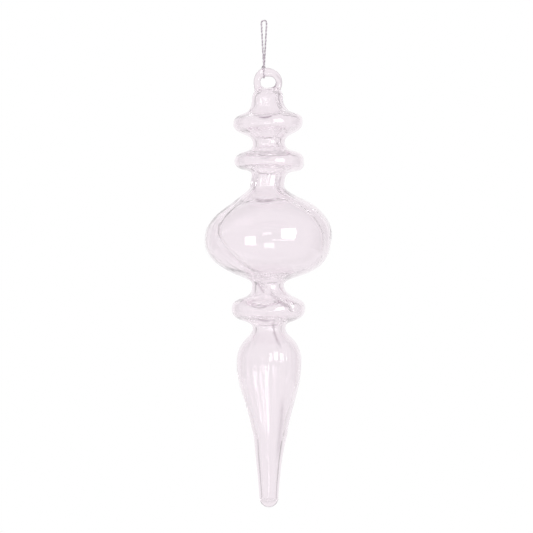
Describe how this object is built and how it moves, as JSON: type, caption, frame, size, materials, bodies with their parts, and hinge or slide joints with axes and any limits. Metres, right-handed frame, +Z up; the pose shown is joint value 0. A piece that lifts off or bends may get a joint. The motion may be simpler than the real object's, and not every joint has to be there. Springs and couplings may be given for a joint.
{
  "type": "icicle hanging ornament",
  "caption": "Blown glass finial of discs, a ribbed bulb and a long pointed drop, hung by its fused glass ring from a loop of twisted metallic cord.",
  "frame": {"origin": "hang point: inside of the cord loop's crown, where a hook or branch sits", "axes": "+Z up against gravity; the hanging ring lies in the XZ plane, so its hole faces -Y; +X to the right seen from -Y"},
  "size_m": [0.0578, 0.0578, 0.2218],
  "materials": {
    "tinted_glass": "gloss",
    "cord_silver": "metallic thread",
    "cord_grey": "metallic thread"
  },
  "bodies": {
    "crown": {"crown_ply_a": "cord_silver", "crown_ply_b": "cord_grey"},
    "legs": {"leg_ply_a": "cord_silver", "leg_ply_b": "cord_grey"},
    "wrap": {"knot": "cord_silver", "ring_wrap": "cord_silver", "knot_tails": "cord_grey"},
    "glass": {"glass_body": "tinted_glass", "hanging_ring": "tinted_glass", "tip_seal": "tinted_glass"}
  },
  "joints": [
    {"name": "cord_twist", "type": "hinge", "parent": "crown", "child": "legs", "pos_m": [0, 0, -0.0008], "axis": [0, 0, 1], "range_deg": [-180, 180]},
    {"name": "side_swing", "type": "hinge", "parent": "legs", "child": "wrap", "pos_m": [0, 0, -0.02016], "axis": [0, 1, 0], "range_deg": [-60, 60]},
    {"name": "front_back_swing", "type": "hinge", "parent": "wrap", "child": "glass", "pos_m": [0, 0, -0.02311], "axis": [1, 0, 0], "range_deg": [-75, 75]}
  ]
}
